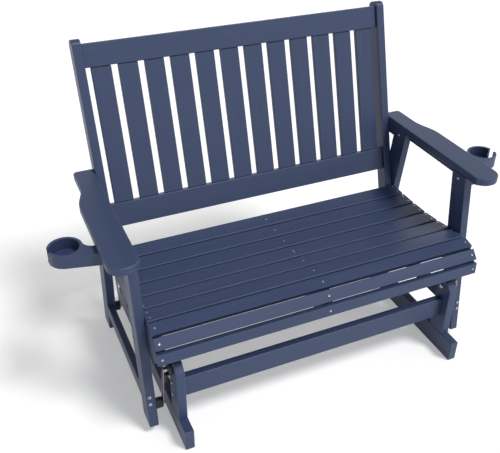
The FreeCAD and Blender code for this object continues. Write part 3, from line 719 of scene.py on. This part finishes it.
class BENCH_OT_links(Operator):
    """Swing links: steel straps with an eye at each end and a moulded block on the inner side"""

    bl_idname = "bench.links"
    bl_label = "Swing links"

    def execute(self, context):
        hardware = context.scene.bench_hardware
        for node in SWING_LINKS:
            strap, block = self.split(node)
            ease_edges(strap, hardware.strap_ease, FINE_STEPS)
            add_piece(f"{node}_strap", strap, finish_for(context, "strap_steel"), SLOT_OF[node], node)
            ease_edges(block, hardware.bearing_ease)
            add_piece(f"{node}_block", block, finish_for(context, "bearing_black"), "black_plastic", node)
        return {"FINISHED"}

    def split(self, node):
        """Strap from the link's outer face, and block from its inner face."""
        strap = copy_of(node)
        planes = sorted({round(vert.co.x, PLANE_DECIMALS) for vert in strap.verts}, key=abs)
        inner, seam, outer = planes[0], planes[1], planes[-1]
        corners = [vert.co.copy() for vert in strap.verts if abs(vert.co.x - inner) < WELD]
        block = skin_over(corners + [corner + Vector((seam - inner, 0, 0)) for corner in corners])
        behind = [face for face in strap.faces if any(abs(vert.co.x - outer) > WELD for vert in face.verts)]
        bmesh.ops.delete(strap, geom=behind, context="FACES")
        bmesh.ops.solidify(strap, geom=strap.faces, thickness=abs(outer - seam))
        merge_flats(strap)
        return strap, block


class BENCH_OT_stage(Operator):
    """Floor, lamp, white surround and camera"""

    bl_idname = "bench.stage"
    bl_label = "Stage"

    def execute(self, context):
        scene, settings = context.scene, context.scene.bench_stage
        scene.view_settings.view_transform = "Standard"
        self.lay_floor(scene, settings)
        self.set_surround(scene, settings)
        self.hang_lamp(scene, settings)
        self.set_camera(scene, settings)
        return {"FINISHED"}

    def lay_floor(self, scene, settings):
        """Matte floor just under the runners, with a glow where it is seen itself."""
        bm = bmesh.new()
        bmesh.ops.create_grid(bm, x_segments=1, y_segments=1, size=FLOOR_REACH)
        bmesh.ops.translate(bm, vec=(0, 0, -FLOOR_GAP), verts=bm.verts)
        mesh = bpy.data.meshes.new("studio_floor")
        bm.to_mesh(mesh)
        bm.free()
        finish, tree, surface = new_finish("studio_floor")
        glow = arithmetic(tree, "MULTIPLY", seen_directly(tree), settings.floor_glow)
        feed(tree, surface, {"Base Color": opaque(settings.floor), "Roughness": 0.9,
                             "Specular IOR Level": 0.0, "Emission Color": WHITE, "Emission Strength": glow})
        mesh.materials.append(finish)
        floor = bpy.data.objects.new("studio_floor", mesh)
        scene.collection.objects.link(floor)

    def set_surround(self, scene, settings):
        """White walls all round, weaker on the left unless they are seen, under a dimmer ceiling."""
        world = bpy.data.worlds.new("white_surround")
        world.use_nodes = True
        scene.world = world
        tree = world.node_tree
        backdrop = next(node for node in tree.nodes if node.type == "BACKGROUND")
        way = add_node(tree, "ShaderNodeTexCoord").outputs["Generated"]
        axes = add_node(tree, "ShaderNodeSeparateXYZ", {"Vector": way}).outputs
        strength = spread(tree, axes["Z"], CEILING_SPAN, (settings.walls, settings.ceiling))
        share = spread(tree, axes["X"], LEFT_SPAN, (settings.left_share, 1.0))
        share = arithmetic(tree, "MAXIMUM", share, seen_directly(tree))
        strength = arithmetic(tree, "MULTIPLY", strength, share)
        feed(tree, backdrop, {"Color": WHITE, "Strength": strength})

    def hang_lamp(self, scene, settings):
        """One soft lamp from the front, the right and above."""
        data = bpy.data.lights.new("key_lamp", "SUN")
        data.energy = settings.key
        data.angle = settings.key_spread
        lamp = bpy.data.objects.new("key_lamp", data)
        lamp.location = settings.key_way
        lamp.rotation_euler = Vector(settings.key_way).to_track_quat("Z", "Y").to_euler()
        scene.collection.objects.link(lamp)

    def set_camera(self, scene, settings):
        """Camera turned by its yaw, pitch and roll."""
        yaw, pitch, roll = settings.camera_yaw, settings.camera_pitch, settings.camera_roll
        ahead = Vector((math.sin(yaw) * math.cos(pitch), math.cos(yaw) * math.cos(pitch), math.sin(pitch)))
        level = Vector((math.cos(yaw), -math.sin(yaw), 0))
        upright = level.cross(ahead)
        right = math.cos(roll) * level + math.sin(roll) * upright
        above = math.cos(roll) * upright - math.sin(roll) * level
        data = bpy.data.cameras.new("photo_camera")
        data.sensor_fit = "HORIZONTAL"
        data.sensor_width = SENSOR_WIDTH
        data.lens = settings.lens
        data.shift_x, data.shift_y = settings.shift
        camera = bpy.data.objects.new("photo_camera", data)
        turned = Matrix((right, above, -ahead)).transposed().to_4x4()
        camera.matrix_world = Matrix.Translation(settings.camera_place) @ turned
        scene.collection.objects.link(camera)
        scene.camera = camera


STEPS = (BENCH_OT_seat, BENCH_OT_back, BENCH_OT_legs, BENCH_OT_arms, BENCH_OT_cup_holders, BENCH_OT_base,
         BENCH_OT_fasteners, BENCH_OT_bearings, BENCH_OT_links, BENCH_OT_stage)


class BENCH_PT_panel(Panel):
    """Pieces and looks of the glider bench"""

    bl_idname = "BENCH_PT_panel"
    bl_label = "Glider Bench"
    bl_space_type = "VIEW_3D"
    bl_region_type = "UI"
    bl_category = "Glider Bench"

    def draw(self, context):
        for step in STEPS:
            self.layout.operator(step.bl_idname)
        for settings in (context.scene.bench_boards, context.scene.bench_hardware, context.scene.bench_stage):
            column = self.layout.column(align=True)
            for name in settings.__annotations__:
                column.prop(settings, name)


CLASSES = (BoardSettings, HardwareSettings, StageSettings) + STEPS + (BENCH_PT_panel,)


def register():
    for item in CLASSES:
        bpy.utils.register_class(item)
    bpy.types.Scene.bench_boards = PointerProperty(type=BoardSettings)
    bpy.types.Scene.bench_hardware = PointerProperty(type=HardwareSettings)
    bpy.types.Scene.bench_stage = PointerProperty(type=StageSettings)


def unregister():
    del bpy.types.Scene.bench_stage
    del bpy.types.Scene.bench_hardware
    del bpy.types.Scene.bench_boards
    for item in reversed(CLASSES):
        bpy.utils.unregister_class(item)


def main():
    register()
    bpy.ops.bench.seat()
    bpy.ops.bench.back()
    bpy.ops.bench.legs()
    bpy.ops.bench.arms()
    bpy.ops.bench.cup_holders()
    bpy.ops.bench.base()
    bpy.ops.bench.fasteners()
    bpy.ops.bench.bearings()
    bpy.ops.bench.links()
    bpy.ops.bench.stage()


if __name__ == "__main__":
    main()
